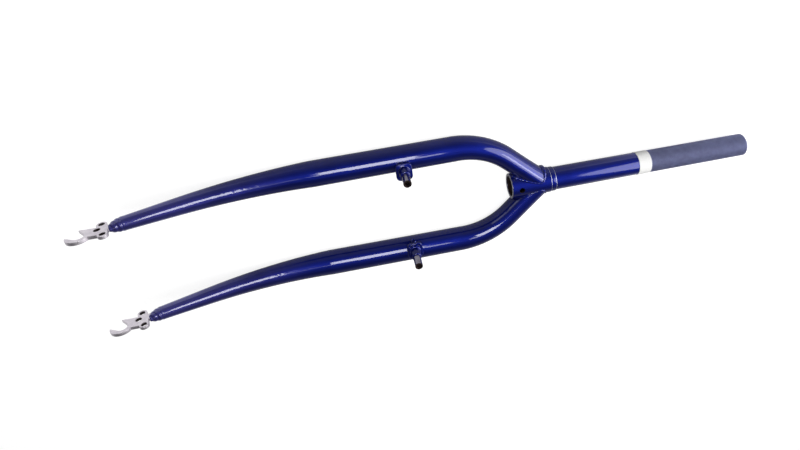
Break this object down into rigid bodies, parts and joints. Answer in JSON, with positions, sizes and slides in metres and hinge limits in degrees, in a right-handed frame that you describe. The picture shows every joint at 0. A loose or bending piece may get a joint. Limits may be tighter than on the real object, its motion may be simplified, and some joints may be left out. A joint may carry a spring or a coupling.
{
  "type": "rigid bicycle fork",
  "caption": "Blue painted steel unicrown bicycle fork with raked tapered blades, brake pivot studs, bare hooked dropouts and a long one-inch steerer.",
  "frame": {"origin": "on the steerer axis at the shoulder that carries the crown race", "axes": "+X up the steerer axis, +Y to the rider's right, +Z forward; the fork lies on its back on a surface below it"},
  "size_m": [0.6885, 0.1378, 0.0666],
  "materials": {
    "blue_paint": "gloss",
    "bare_steel": "dull bare metal",
    "white_paper": "matt"
  },
  "bodies": {
    "root": {"steerer_tube": "blue_paint", "paper_band": "white_paper", "right_blade": "blue_paint", "right_crown_weld": "blue_paint", "right_dropout": "bare_steel", "right_tip_weld": "blue_paint", "right_boss_base": "blue_paint", "right_spring_plate": "blue_paint", "right_pivot_stud": "bare_steel", "left_blade": "blue_paint", "left_crown_weld": "blue_paint", "left_dropout": "bare_steel", "left_tip_weld": "blue_paint", "left_boss_base": "blue_paint", "left_spring_plate": "blue_paint", "left_pivot_stud": "bare_steel"}
  },
  "joints": []
}
